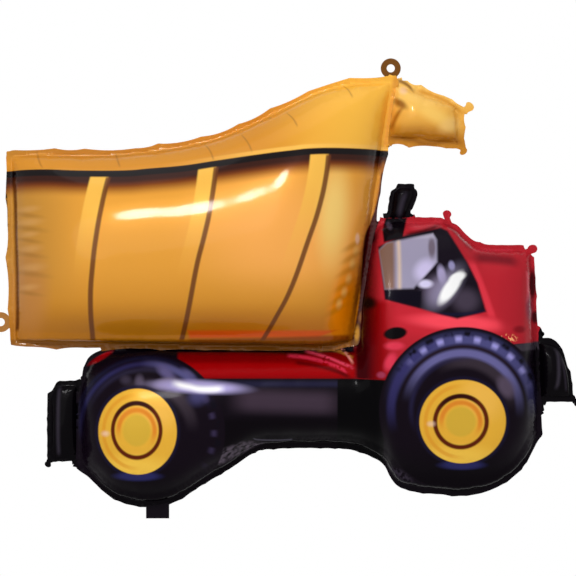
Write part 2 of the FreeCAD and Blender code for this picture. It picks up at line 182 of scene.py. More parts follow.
# Lamps: place, aim, width and height, watts
lamps = {
    "key": ((-0.42, -2.77, 1.55), (-0.1, 0, 0.1), (0.34, 0.52), 30),
    "overhead": ((0.0, -0.6, 3.0), (0, 0, 0), (3.0, 2.0), 14),
    "fill": ((-1.5, -5.0, 0.8), (0, 0, 0), (3.0, 3.0), 30),
    "far_fill": ((1.5, 5.0, 1.4), (0, 0, 0), (3.0, 3.0), 40),
}
surround = (0.8, 0.8, 0.8, 1)
surround_strength = 0.55
floor_level = -0.85
floor_half = 12.0

# Each chamber: the CAD films under it, its finish, the share of the creases that it shows,
# and the length and depth of the lumps along its rim
chambers = {
    "bed": (["bed_panel", "bed_band"], "film_yellow", 0.6, 0.060, 0.0060),
    "lower": (
        ["cab", "cab_window", "chassis", "rear_tyre", "rear_hub", "front_tyre", "front_hub"],
        "film_black", 1.1, 0.022, 0.0026,
    ),
    "visor": (["visor"], "film_bright_yellow", 2.0, 0.034, 0.0060),
    "stack": (["stack"], "film_black", 0.8, 0.012, -0.0022),
    "flap": (["flap"], "film_black", 1.0, 0.020, 0.0020),
    "bumper": (["bumper"], "film_black", 1.2, 0.020, 0.0025),
}


def srgb(red, green, blue):
    """A screen colour, 0 to 255, as the linear colour that nodes take."""
    parts = [part / 255 for part in (red, green, blue)]
    return [p / 12.92 if p <= 0.04045 else ((p + 0.055) / 1.055) ** 2.4 for p in parts] + [1.0]


# Lines of the flat pieces


def front_loops(mesh):
    """Closed lines round the faces that look to -Y, as arrays of (x, z), the longest first."""
    following = {}
    for face in mesh.polygons:
        if face.normal.y > -0.99:
            continue
        places = [mesh.vertices[i].co for i in face.vertices]
        keys = [(round(place.x, 6), round(place.z, 6)) for place in places]
        for start, end in zip(keys, keys[1:] + keys[:1]):
            if start in following.get(end, ()):
                following[end].remove(start)
            else:
                following.setdefault(start, []).append(end)
    loops = []
    while any(following.values()):
        start = next(key for key, ends in following.items() if ends)
        loop, key = [start], following[start].pop()
        while key != start:
            loop.append(key)
            key = following[key].pop()
        loops.append(np.array(loop))
    return sorted(loops, key=lambda loop: -len_of(loop))


def len_of(loop):
    """Length of a closed line."""
    return np.linalg.norm(np.roll(loop, -1, 0) - loop, axis=1).sum()


def resampled(loop, step):
    """Points at even steps round a closed line."""
    sides = np.linalg.norm(np.roll(loop, -1, 0) - loop, axis=1)
    ways = np.append(0, np.cumsum(sides))
    count = max(8, round(ways[-1] / step))
    wanted = np.arange(count) * ways[-1] / count
    closed = np.vstack([loop, loop[:1]])
    return np.column_stack([np.interp(wanted, ways, closed[:, axis]) for axis in (0, 1)])


def inside(points, loop):
    """Which points lie inside a closed line."""
    found = np.zeros(len(points), bool)
    x, z = points[:, 0], points[:, 1]
    for (x0, z0), (x1, z1) in zip(loop, np.roll(loop, -1, 0)):
        if z0 != z1:
            crossing = (z0 > z) != (z1 > z)
            found ^= crossing & (x < (x1 - x0) * (z - z0) / (z1 - z0) + x0)
    return found


def tree_of(points):
    """A tree that finds the nearest of some points (x, z)."""
    tree = KDTree(len(points))
    for k, (x, z) in enumerate(points):
        tree.insert((x, 0, z), k)
    tree.balance()
    return tree


class Weld:
    """A closed weld line, with each point's distance from it and place along it."""

    def __init__(self, loop):
        self.loop = resampled(loop, near_step)
        self.length = len_of(self.loop)
        self.into = inward(self.loop)
        self.tree = tree_of(self.loop)

    def measure(self, points):
        """Distance from the weld, place along it, and the way into the chamber there."""
        found = [self.tree.find((x, 0, z)) for x, z in points]
        nearest = np.array([hit[1] for hit in found])
        distance = np.array([hit[2] for hit in found])
        return distance, nearest * self.length / len(self.loop), self.into[nearest]


def inward(loop):
    """Unit directions into a closed line's field, at each of its points."""
    ahead = np.roll(loop, -1, 0) - np.roll(loop, 1, 0)
    ahead /= np.linalg.norm(ahead, axis=1)[:, None]
    turn = np.column_stack([-ahead[:, 1], ahead[:, 0]])
    probe = loop + turn * near_step / 2
    return turn * np.where(inside(probe, loop), 1, -1)[:, None]


# Creases


def pressed(along, length, cell, seed):
    """How deep the creases of one size are at places along a closed weld, 1 in the deepest."""
    dice = np.random.default_rng(seed)
    count = max(4, round(length / cell))
    borders = (np.arange(count) + dice.uniform(-crease_stray, crease_stray, count)) * length / count
    strengths = dice.uniform(crease_weakest, 1.0, count) ** crease_rarity
    place = (along - borders[0]) % length
    borders = np.append(borders, borders[0] + length) - borders[0]
    strengths = np.append(strengths, strengths[0])
    k = np.clip(np.searchsorted(borders, place, side="right") - 1, 0, count - 1)
    share = (place - borders[k]) / (borders[k + 1] - borders[k])
    return strengths[k] * (1 - share) ** crease_slope + strengths[k + 1] * share ** crease_slope


def crease_depth(along, reach, half_width, length, seed):
    """Depth of all creases at a way along the weld and a reach over the film from it."""
    depth = np.zeros(len(along))
    for size, (cell, far, most) in enumerate(creases):
        shrink = min(1.0, half_width * crease_fill / far)
        share = np.clip(reach / (far * shrink), 0, 1)
        rise = np.clip(reach / (far * shrink * crease_root), 0, 1) ** crease_rise
        fall = (1 - share) ** crease_fall
        depth += most * shrink * rise * fall * pressed(along, length, cell, seed + size)
    return depth


def swell(points, seed):
    """Slow unevenness of a full film, from -1 to 1."""
    dice = np.random.default_rng(seed)
    total = np.zeros(len(points))
    for _ in range(swell_waves):
        turn, shift = dice.uniform(0, math.tau, 2)
        way = points @ np.array([math.cos(turn), math.sin(turn)])
        total += np.sin(way * math.tau / (swell_size * dice.uniform(*swell_spread)) + shift)
    return total / swell_waves


# Films


def grid_points(line, step, row_step):
    """Points in rows over a closed line's field and round it, every second row half a step on."""
    low, high = line.min(0), line.max(0)
    columns = np.arange(low[0], high[0], step)
    rows = np.arange(low[1], high[1], row_step)
    return np.array([(x + step * 0.5 * (j % 2), z) for j, z in enumerate(rows) for x in columns])


def flat_layout(outer, edge):
    """Points for a film: its rim's outer line, its weld, rows beside the weld and a grid inside."""
    weld = Weld(edge)
    rows = [resampled(outer, weld_step), resampled(edge, weld_step)]
    kinds = [np.full(len(rows[0]), on_rim), np.full(len(rows[1]), on_weld)]
    line, into = rows[1], inward(rows[1])
    for k in range(1, ring_count + 1):
        distance = ring_first * k * (k + 1) / 2
        ring = line + into * distance
        kept = inside(ring, edge) & (weld.measure(ring)[0] > distance * ring_share - ring_slack)
        rows.append(ring[kept])
        kinds.append(np.full(kept.sum(), in_chamber))
    grid = grid_points(edge, grid_step, grid_step * math.sqrt(0.75))
    grid = grid[inside(grid, edge)]
    grid = grid[weld.measure(grid)[0] > distance + grid_step * grid_clear]
    rows.append(grid)
    kinds.append(np.full(len(grid), in_chamber))
    grid = grid_points(outer, rim_step, rim_step)
    grid = grid[inside(grid, outer) & ~inside(grid, edge)]
    grid = grid[weld.measure(grid)[0] > rim_step * rim_clear]
    rows.append(grid)
    kinds.append(np.full(len(grid), on_rim))
    return weld, rows, np.concatenate(kinds)


def triangles(points, outer_count, edge_count):
    """Triangles between points within the outer line, with the weld line among their sides."""
    sides = [(outer_count + k, outer_count + (k + 1) % edge_count) for k in range(edge_count)]
    outline = [list(range(outer_count))]
    made = delaunay_2d_cdt([Vector(point) for point in points], sides, outline, 1, 1e-7, True)
    places = np.array([tuple(place) for place in made[0]])
    middles = places[np.array(made[2])].mean(1)
    faces = [face for face, kept in zip(made[2], inside(middles, points[:outer_count])) if kept]
    return places, faces, made[3]


def film_depth(points, tree):
    """How far the CAD film stands out to the right at each point."""
    depth = np.zeros(len(points))
    for k, (x, z) in enumerate(points):
        for aside in ray_asides:
            hit = tree.ray_cast(Vector((x + aside, -1, z + aside)), Vector((0, 1, 0)))[0]
            if hit:
                depth[k] = -hit.y
                break
    return depth


def evened(values, faces, fixed):
    """Values drawn to those of neighbouring points, some rounds over."""
    pairs = np.array([(a, b) for face in faces for a, b in zip(face, face[1:] + face[:1])])
    first, second = np.concatenate([pairs, pairs[:, ::-1]]).T
    count = np.bincount(first, minlength=len(values))
    for _ in range(evening_rounds):
        mean = np.bincount(first, values[second], len(values)) / np.maximum(count, 1)
        values = np.where(fixed, values, values * (1 - evening_share) + mean * evening_share)
    return values


def normals_of(places, faces):
    """Unit normals of a mesh at its points."""
    corners = places[np.array(faces)]
    across = np.cross(corners[:, 1] - corners[:, 0], corners[:, 2] - corners[:, 0])
    total = np.zeros_like(places)
    for k in range(3):
        np.add.at(total, np.array(faces)[:, k], across)
    return total / np.maximum(np.linalg.norm(total, axis=1), 1e-12)[:, None]


def flat_film(chamber):
    """A chamber's film and rim laid flat: points, triangles, which points lie inside, and the weld."""
    outer, edge = front_loops(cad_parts[chamber + "_rim"].data)[:2]
    weld, rows, kinds = flat_layout(outer, edge)
    points, faces, origins = triangles(np.vstack(rows), len(rows[0]), len(rows[1]))
    faces = [face if turned_right(points, face) else face[::-1] for face in faces]
    kind = np.array([kinds[ids[0]] if ids else on_weld for ids in origins])
    return points, faces, kind == in_chamber, weld


def gap_to_others(points, chamber):
    """Distance from each point to the outer lines of the other chambers' rims."""
    lines = [front_loops(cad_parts[name + "_rim"].data)[0] for name in chambers if name != chamber]
    tree = tree_of(np.vstack([resampled(line, near_step) for line in lines]))
    return np.array([tree.find((x, 0, z))[2] for x, z in points])


def rim_moves(chamber, points, distance, outward, lumps):
    """How far each point of a rim moves away from its weld, in the weld plane."""
    spread = rim_spread + lumps
    gap = gap_to_others(points, chamber)
    meets = gap < meeting_gap
    spread = np.where(meets, np.maximum(spread, gap * meeting_share + meeting_lap), spread)
    level = np.clip((ear_reach - distance) / (ear_reach - rim_reach), 0, 1)
    return outward * spread * np.where(meets, 1, level)


def lean_ears(chamber, places, outward):
    """Shift the ears of a rim, and let them grow round their centres."""
    for centre, shift, growth, size in ears.get(chamber, []):
        aside = places[:, [0, 2]] - np.array(centre) / 1000
        share = np.clip(1 + ear_core - np.linalg.norm(aside, axis=1) * 1000 / size, 0, 1) * outward
        places[:, [0, 2]] += share[:, None] * (np.array(shift) / 1000 + aside * growth)


def film_piece(chamber, side, seed):
    """One puckered film with its half of the rim."""
    parts, slot, crease_share, lump_cell, lump_depth = chambers[chamber]
    points, faces, full, weld = flat_film(chamber)
    distance, along, into = weld.measure(points)

    # Inside the weld, the film is as deep as the CAD film, with creases and a slight swell
    depth = np.zeros(len(points))
    depth[full] = film_depth(points[full], film_tree(parts))
    depth = np.sqrt(np.maximum(evened(depth ** 2, faces, ~full), 0))
    places = np.column_stack([points[:, 0], -depth, points[:, 1]])
    reach = np.hypot(distance, depth)
    dent = crease_depth(along, reach, distance[full].max(), weld.length, seed)
    bulge = swell(points, seed) * swell_depth * np.clip(distance / swell_reach, 0, 1)
    places += normals_of(places, faces) * np.where(full, bulge - dent * crease_share, 0)[:, None]

    # Outside it, the rim has lumps and ears in its plane, and waves out of it
    outward = np.clip(distance / rim_ease, 0, 1) * ~full
    lumps = lump_depth * pressed(along, weld.length, lump_cell, lump_seed)
    places[:, [0, 2]] -= into * rim_moves(chamber, points, distance, outward, lumps)[:, None]
    lean_ears(chamber, places, outward)
    waves = pressed(along, weld.length, rim_wave_cell, wave_seed) - rim_wave_level
    ripple = rim_wave * waves * outward - rim_forward.get(chamber, 0) * outward
    places[:, 1] += (ripple if side == "right" else -ripple) - rim_thickness * 0.5 * ~full

    if side == "left":
        places[:, 1] *= -1
        faces = [face[::-1] for face in faces]
    piece = made_piece("%s_foil_%s" % (chamber, side), places, faces)
    if chamber == "lower":
        ahead = places[np.array(faces), 0].mean(1) > front_print_x
        piece.data.polygons.foreach_set("material_index", ahead.astype(np.int32))

    # Map for a texture: place along the weld, and reach over the film from it
    measured = piece.data.uv_layers.new(name="weld")
    corners = np.array(faces).ravel()
    measured.data.foreach_set("uv", np.column_stack([along, reach])[corners].ravel())

    stands_for = ["%s_film_%s" % (part, side) for part in parts]
    if side == "right":
        stands_for.append(chamber + "_rim")
    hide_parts(*stands_for)
    return piece


def turned_right(points, face):
    """Whether a triangle seen from -Y runs counter-clockwise."""
    a, b, c = points[face[0]], points[face[1]], points[face[2]]
    return (b[0] - a[0]) * (c[1] - a[1]) - (b[1] - a[1]) * (c[0] - a[0]) > 0


def film_tree(parts):
    """The right CAD films of a chamber, ready for measuring."""
    places, faces = [], []
    for part in parts:
        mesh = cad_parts[part + "_film_right"].data
        start = len(places)
        places += [vertex.co for vertex in mesh.vertices]
        faces += [[start + i for i in face.vertices] for face in mesh.polygons]
    return BVHTree.FromPolygons(places, faces)


def made_piece(name, places, faces):
    """A smooth mesh object that rides on the root."""
    mesh = bpy.data.meshes.new(name)
    mesh.from_pydata([tuple(place) for place in places], [], [list(face) for face in faces])
    mesh.polygons.foreach_set("use_smooth", [True] * len(mesh.polygons))
    piece = bpy.data.objects.new(name, mesh)
    bpy.context.scene.collection.objects.link(piece)
    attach(piece, "root")
    return piece


# Print


class Field:
    """A value that varies over a film: a shader node's output, with arithmetic."""

    def __init__(self, tree, socket):
        self.tree, self.socket = tree, socket

    def fed(self, kind, *values, **settings):
        """A new node, fed with this value and others."""
        node = self.tree.nodes.new(kind)
        for name, setting in settings.items():
            setattr(node, name, setting)
        for slot, value in zip(node.inputs, (self,) + values):
            if isinstance(value, Field):
                self.tree.links.new(value.socket, slot)
            elif value is not None:
                slot.default_value = value
        return node

    def math(self, operation, *values):
        """A number from numbers."""
        return Field(self.tree, self.fed("ShaderNodeMath", *values, operation=operation).outputs[0])

    def __add__(self, other):
        return self.math("ADD", other)

    def __sub__(self, other):
        return self.math("SUBTRACT", other)

    def __mul__(self, other):
        return self.math("MULTIPLY", other)

    def vector(self, operation, *values):
        """A vector from vectors."""
        return Field(self.tree, self.fed("ShaderNodeVectorMath", *values, operation=operation).outputs[0])

    def measure(self, operation, *values):
        """A number from vectors."""
        return Field(self.tree, self.fed("ShaderNodeVectorMath", *values, operation=operation).outputs[1])

    def fade(self, start, end):
        """0 at start and 1 at end, smooth between and level beyond."""
        node = self.fed("ShaderNodeMapRange", start, end, interpolation_type="SMOOTHSTEP")
        return Field(self.tree, node.outputs[0])

    def within(self, low, high, soft):
        """1 between low and high, with soft borders."""
        return self.fade(low - soft, low + soft) * self.fade(high + soft, high - soft)

    def curve(self, points):
        """A smooth curve through points (value, result)."""
        low, high = points[0][0], points[-1][0]
        results = [result for _, result in points]
        least, most = min(results), max(results)
        share = (self - low) * (1 / (high - low))
        node = self.tree.nodes.new("ShaderNodeFloatCurve")
        self.tree.links.new(share.socket, node.inputs["Value"])
        node.mapping.extend = "HORIZONTAL"
        line = node.mapping.curves[0]
        for value, result in points:
            place = (value - low) / (high - low), (result - least) / (most - least)
            if value in (low, high):
                line.points[0 if value == low else len(line.points) - 1].location = place
            else:
                line.points.new(*place)
        node.mapping.update()
        return Field(self.tree, node.outputs[0]) * (most - least) + least


class Print:
    """The print on a film, with painted shade and highlights among its coats, laid coat over coat, with x
    ahead and z up in millimetres.
    """

    def __init__(self, name, ground):
        self.material = bpy.data.materials.new(name)
        self.material.use_nodes = True
        self.tree = self.material.node_tree
        self.shader = self.tree.nodes["Principled BSDF"]
        source = self.tree.nodes.new("ShaderNodeTexCoord")
        self.solid = Field(self.tree, source.outputs["Object"]).vector("MULTIPLY", (1000, 1000, 1000))
        self.place = self.solid.vector("MULTIPLY", (1, 0, 1))
        parts = self.place.fed("ShaderNodeSeparateXYZ").outputs
        self.x, self.z = Field(self.tree, parts["X"]), Field(self.tree, parts["Z"])
        self.colour = srgb(*ground)
        self.room = None

    def coat(self, colour, mask):
        """Lay a colour where the mask is, within the room that is set."""
        if self.room:
            mask = mask * self.room
        node = mask.fed("ShaderNodeMixRGB", self.colour, srgb(*colour))
        self.colour = Field(self.tree, node.outputs[0])

    def local(self, centre, turn=0.0, size=(1, 1)):
        """Places seen from a centre, turned by some degrees and measured in size."""
        node = self.tree.nodes.new("ShaderNodeMapping")
        node.vector_type = "TEXTURE"
        self.tree.links.new(self.place.socket, node.inputs["Vector"])
        node.inputs["Location"].default_value = (centre[0], 0, centre[1])
        node.inputs["Rotation"].default_value = (0, -math.radians(turn), 0)
        node.inputs["Scale"].default_value = (size[0], 1, size[1])
        return Field(self.tree, node.outputs[0])

    def radius(self, centre, squeeze=1.0):
        """Distance from a centre, on circles squeezed to this share of their width."""
        return self.local(centre, 0, (squeeze, 1)).measure("LENGTH")

    def blob(self, centre, size, turn=0.0, soft=0.5):
        """A soft oval: its half-widths, the turn of its long way, and how soft its border is."""
        return self.local(centre, turn, size).measure("LENGTH").fade(1 + soft, 1 - soft)

    def toward(self, centre, angle, reach, soft=8):
        """The wedge round a centre that looks to an angle, as wide as reach to both sides, in degrees."""
        way = (math.cos(math.radians(angle)), 0, math.sin(math.radians(angle)))
        turned = self.local(centre).vector("NORMALIZE").measure("DOT_PRODUCT", way)
        low, high = math.radians(reach + soft), math.radians(max(reach - soft, 0))
        return turned.fade(math.cos(low), math.cos(high))

    def panel(self, corners, soft=1.5):
        """A convex panel with corners given clockwise."""
        least = None
        for (x0, z0), (x1, z1) in zip(corners, corners[1:] + corners[:1]):
            length = math.hypot(x1 - x0, z1 - z0)
            into = ((z1 - z0) / length, 0, (x0 - x1) / length)
            depth = self.place.measure("DOT_PRODUCT", into) - (into[0] * x0 + into[2] * z0)
            least = least.math("MINIMUM", depth) if least else depth
        return least.fade(-soft, soft)

    def stroke(self, points, width, soft=1.5):
        """A curved line through points, which run one way along x or along z."""
        upright = abs(points[-1][1] - points[0][1]) > abs(points[-1][0] - points[0][0])
        way, aside, k = (self.z, self.x, 1) if upright else (self.x, self.z, 0)
        line = sorted((point[k], point[1 - k]) for point in points)
        off = (aside - way.curve(line)).math("ABSOLUTE")
        return off.fade(width / 2 + soft, width / 2 - soft) * way.within(line[0][0], line[-1][0], soft * 2)

    def noise(self, size, detail=1.0):
        """Cloudy unevenness from 0 to 1, with clouds of about this size."""
        node = self.tree.nodes.new("ShaderNodeTexNoise")
        node.inputs["Scale"].default_value = 1 / size
        node.inputs["Detail"].default_value = detail
        self.tree.links.new(self.solid.socket, node.inputs["Vector"])
        return Field(self.tree, node.outputs[0])

    def finish(self, gloss, bump):
        """Foil under the print: the gloss of the film and its fine dents."""
        ground = self.shader.inputs["Base Color"]
        if isinstance(self.colour, Field):
            self.tree.links.new(self.colour.socket, ground)
        else:
            ground.default_value = self.colour
        for name, value in gloss.items():
            self.shader.inputs[name].default_value = value
        node = self.tree.nodes.new("ShaderNodeBump")
        node.inputs["Strength"].default_value = bump
        node.inputs["Distance"].default_value = dent_height
        self.tree.links.new(self.noise(dent_size).socket, node.inputs["Height"])
        self.tree.links.new(node.outputs[0], self.shader.inputs["Normal"])
        return self.material


def bed_print():
    """Bed: side panel with painted light and shade, ribs, and the bright ledge above them."""
    p = Print("bed_foil", (236, 162, 56))
    line = p.x.curve(ledge_line)
    over = p.z - line

    # Painted light and shade on the side panel: a lighter middle, a darker back and foot, and an orange
    # patch low at the front
    p.coat((205, 143, 52), p.x.fade(-283, -395))
    p.coat((255, 176, 84), p.blob((13, 110), (120, 80), 0, 0.7))
    p.coat((255, 214, 120), p.blob((90, 144), (20.8, 67.2), -4, 0.8) * 0.9)
    p.coat((210, 138, 30), p.z.fade(67, -22) * 0.75)
    p.coat((184, 114, 12), p.z.fade(13, -54) * p.x.fade(109, -155))
    p.coat((186, 108, 10), p.z.fade(6, -50) * p.x.fade(-171, -91) * 0.8)
    p.coat((255, 142, 0), p.blob((109, -2), (20.8, 51.2), -12, 0.7))
    # Painted shade of the puckers along the back edge
    p.coat((196, 130, 70), p.blob((-395, 22), (28.8, 64), 0, 0.6) * 0.6)
    # Painted highlight and painted shade at each pucker, at both welds
    for x, z, reach in back_pucker_shading:
        p.coat((222, 166, 96), p.blob((x, z + 5), (reach, reach * 0.3), 6, 0.9) * 0.5)
        p.coat((166, 112, 38), p.blob((x, z - 5), (reach * 1.3, reach * 0.22), -8, 0.9) * 0.5)
    for x, z in front_pucker_shading:
        p.coat((255, 216, 122), p.blob((x, z), (4, 7), -14, 0.9) * 0.5)
        p.coat((182, 112, 10), p.blob((x - 8, z - 11), (15, 4), 30, 0.9) * 0.45)
    # Painted glint at the top of the front puckers
    p.coat((255, 206, 166), p.blob((128, 104), (3.2, 8), 0, 0.5))
    # Painted orange reflection along the foot, and painted shade below it
    p.coat((214, 80, 14), p.panel([(-142, -42), (93, -42), (66, -53), (-139, -54)], 3) * 0.9)
    p.coat((128, 50, 8), p.stroke([(-139, -61), (-43, -59), (117, -54)], 9.6, 3) * 0.8)

    # Dark shade under the ledge, and its black line
    p.coat((128, 58, 6), over.within(-32, 0, 11.2))
    p.coat((46, 12, 4), over.within(-20.8, 0, 6.4) * 0.95)

    # Ribs: a bright stripe, and the dark line along its front
    for top_left, top_right, points in ribs:
        edge = p.z.curve(sorted((z, x) for x, z in points))
        stripe = (p.x - edge).within(top_left - top_right, 0, 2) * p.z.fade(points[-1][1] + 90, points[0][1])
        p.coat((255, 194, 80), stripe * over.fade(-3.2, -6.4))
        p.coat((104, 52, 18), p.stroke(points, 8, 1.8) * 0.9)
    p.coat((8, 0, 2), over.within(-8.8, 1.6, 1.6))

    # Bright ledge above: lighter ahead and along its foot, darker towards its back top, and painted shade in
    # its creases
    p.coat((224, 148, 42), over.fade(0.8, 2.4))
    p.coat((255, 190, 68), over.fade(1.6, 3.2) * p.x.fade(-43, 133))
    p.coat((255, 196, 88), over.within(1.6, 8, 1.6) * p.x.fade(-203, 37))
    p.coat((198, 134, 48), over.fade(12.8, 32) * p.x.fade(5, -347) * 0.7)
    for points in ledge_crease_shadows:
        p.coat((160, 98, 30), p.stroke(points, 2.2, 2.2) * 0.7)

    # Painted shade along the front weld
    p.coat((220, 142, 36), p.stroke([(192, 365), (184, 314), (174, 250)], 11.2, 4) * 0.8)
    p.coat((176, 106, 26), p.stroke([(171, 227), (165, 190), (157, 147)], 6.4, 3) * 0.7)

    # Maroon of the cab, which begins short of the front weld
    front = p.z.curve([point[::-1] for point in maroon_line])
    p.coat((66, 4, 6), (p.x - front).fade(-1.5, 2) * over.fade(-28.8, -38.4))

    # Painted glint of the gold crinkles at the front weld, and painted shade beside it
    p.coat((210, 146, 36), p.blob((128, -48), (3.8, 12.8), -4, 0.6))
    p.coat((150, 92, 36), p.blob((134, -21), (3.8, 8), -10, 0.7) * 0.8)

    # Painted shade on the rim below, and along the back edge
    p.coat((132, 80, 14), p.z.fade(-54, -61) * p.x.fade(136, 120) * 0.8)
    p.coat((92, 44, 18), p.stroke([(-419, 198), (-416, 102), (-414, 6), (-416, -42)], 5.6, 2) * 0.9)
    return p.finish(bright_gloss, 0.08)


def tank_coats(p):
    """Tank and web between the wheels, with a painted sheen on the tank and on the web's crumples, and a
    painted highlight along the tank's foot.
    """
    # Painted sheen along the tank
    p.coat((66, 52, 66), p.stroke([(-62, -152), (21, -155), (91, -157)], 32, 12))
    p.coat((28, 26, 52), p.panel([(-123, -122), (101, -122), (101, -131), (-123, -131)], 4))
    p.coat((8, 3, 9), p.z.fade(-173, -189))
    # Painted highlight along the tank's foot, and painted sheen on the web's crumples
    p.coat((96, 92, 108), p.stroke([(-37, -214), (-8, -217), (24, -216)], 1.9, 1.2) * 0.6)
    p.coat((146, 130, 150), p.panel([(-104, -237), (-50, -218), (-24, -222), (-98, -259)], 4)
           * p.noise(10).fade(0.3, 0.7) * 0.4)
    p.coat((170, 8, 18), p.blob((-282, -86), (19.2, 3.8), 30, 0.5))


def chassis_coats(p):
    """Frame, with painted shade under the bed and painted glints on its folds, and the dark box before the
    front wheel.
    """
    p.coat((2, 1, 3), p.x.within(96, 170, 1.6) * p.z.fade(-115, -120))
    frame_red = p.x.within(-158, 166, 3) * p.z.within(-118, -77, 1.5)
    p.coat((128, 0, 4), frame_red)
    p.coat((168, 2, 8), frame_red * p.z.within(-115, -93, 5) * 0.8)
    # Painted shade under the bed's foot
    p.coat((14, 0, 4), p.stroke([(-245, -67), (-155, -69), (-59, -70), (46, -74)], 12.8, 3))
    p.coat((84, 0, 4), p.stroke([(30, -93), (69, -99), (114, -115)], 6.4, 3) * 0.8)
    # Painted glints on the frame's folds
    for points, width, colour in frame_fold_glints:
        p.coat(colour, p.stroke(points, width, 2.5) * p.noise(9).fade(0.3, 0.5))


def cab_coats(p):
    """Cab and hood, with the side window, and painted highlights, sheen and shade on them."""
    low = p.x.curve(cab_foot_line)
    cab = (p.z - low).fade(-1.5, 1.5) * p.x.fade(120, 130)
    p.room = cab
    p.coat((186, 36, 48), cab)
    # Painted highlight across the cab below the window, pink at its core
    p.coat((204, 40, 54), p.blob((261, -29), (99.2, 28.8), -6, 0.5))
    p.coat((255, 76, 92), p.blob((285, -29), (70.4, 12), -4, 0.5))
    p.coat((232, 58, 74), p.stroke([(309, 67), (326, 22), (341, -22)], 11.2, 4) * 0.8)
    p.coat((182, 36, 48), p.blob((370, 6), (19.2, 54.4), 0, 0.5))
    p.coat((150, 2, 8), p.x.fade(194, 162) * p.z.fade(13, -2))
    p.coat((60, 0, 6), p.x.fade(171, 139))
    p.coat((14, 2, 6), p.blob((147, 107), (11.2, 11.2), 0, 0.5))
    p.coat((14, 2, 6), p.blob((144, 2), (12.8, 9.6), 0, 0.5))

    # Roof and hood, with painted highlights, sheen and shade
    p.coat((206, 56, 70), p.stroke([(210, 125), (237, 123), (261, 131)], 11.2, 4) * 0.8)
    p.coat((70, 6, 12), p.stroke([(206, 110), (235, 117), (258, 125)], 6.4, 4) * 0.9)
    p.coat((116, 20, 32), p.stroke([(315, 74), (344, 72), (382, 67)], 14.4, 6) * 0.85)
    p.coat((196, 46, 62), p.stroke([(312, 85), (341, 86), (376, 86)], 4.8, 2) * 0.8)
    # Painted shade along the windscreen's slope
    p.coat((112, 18, 30), p.stroke([(267, 131), (290, 109), (309, 86)], 8, 4) * 0.5)
    # Painted highlight down the front edge, painted shade in the folds beside it, and a painted sheen
    # between them
    p.coat((236, 100, 116), p.stroke([(398, 51), (400, 29), (398, 3)], 4, 2.5) * 0.7)
    p.coat((78, 8, 18), p.blob((409, 32), (5.6, 22.4), 0, 0.4))
    p.coat((78, 8, 18), p.blob((413, -21), (6.4, 9.6), 0, 0.4))
    p.coat((120, 54, 76), p.blob((402, -6), (6.4, 19.2), 0, 0.6) * 0.7)
    p.coat((128, 16, 28), p.blob((384, -40), (9.6, 5.6), 0, 0.5) * 0.8)
    # Painted glints of the crinkles low at the front
    p.coat((255, 176, 120), p.noise(4).fade(0.52, 0.6) * p.blob((366, -54), (12.8, 6.4), 0, 0.4))

    # Handle and the glints below it
    p.coat((6, 3, 6), p.blob((187, -46), (18.4, 9.6), 8, 0.18))
    p.coat((226, 58, 82), p.blob((186, -66), (14.4, 6.4), 0, 0.5))
    p.coat((226, 58, 84), p.blob((179, -91), (8, 14.4), -25, 0.5))
    p.coat((170, 60, 90), p.blob((165, -112), (6.4, 4.8), 0, 0.5))

    # Window: dark frame, bright pane, reflections printed on the glass, and what shows behind it
    p.room = p.panel(window_corners, 2.5)
    p.coat((22, 15, 26), p.z.fade(-154, -122))
    p.coat((70, 60, 76), p.blob((299, 6), (19.2, 17.6), 0, 0.6))
    p.coat((104, 92, 116), p.blob((256, 22), (22.4, 20.8), 20, 0.6))
    p.coat((214, 208, 240), p.blob((235, 32), (11.2, 6.4), 0, 0.5))
    p.coat((170, 160, 200), p.blob((261, 46), (6.4, 14.4), 10, 0.5))
    p.coat((150, 145, 190), p.blob((277, 61), (4.8, 7.2), 10, 0.5))
    p.coat((150, 142, 172), p.blob((266, 26), (32, 14.4), 52, 0.9) * 0.8)
    p.coat((255, 255, 255), p.blob((275, 26), (28.8, 9.6), 54, 0.35))
    p.coat((255, 255, 255), p.blob((286, 43), (12.8, 6.4), 20, 0.4))
    p.coat((10, 5, 20), p.panel([(170, 22), (229, 21), (226, -5), (171, 6)], 2.5))
    p.coat((20, 20, 50), p.stroke([(197, 0), (261, -16), (328, -11)], 4.8, 2) * 0.7)
    pane = p.panel(pane_corners, 3)
    p.coat((158, 152, 178), pane)
    p.coat((204, 194, 232), pane * p.blob((235, 54), (17.6, 14.4), 45, 0.6))
    p.coat((112, 100, 116), pane * p.blob((246, 90), (5.6, 16), 0, 0.5))
    p.coat((128, 97, 84), pane * p.x.fade(192, 182))
    p.coat((216, 190, 168), pane * p.stroke([(192, 109), (194, 67), (194, 19)], 4.8, 4))
    p.coat((190, 184, 206), pane * p.z.fade(101, 109) * p.x.fade(181, 197) * 0.6)
    p.room = None

    # Foot of the stack, printed over the roof
    p.coat((12, 7, 13), p.panel([(174, 138), (208, 138), (200, 106), (170, 98), (168, 118)], 2))
    p.coat((70, 62, 78), p.blob((179, 125), (4, 6.4), 20, 0.5))
    p.coat((62, 54, 64), p.panel([(376, -64), (421, -59), (421, -72), (376, -75)], 2.5))


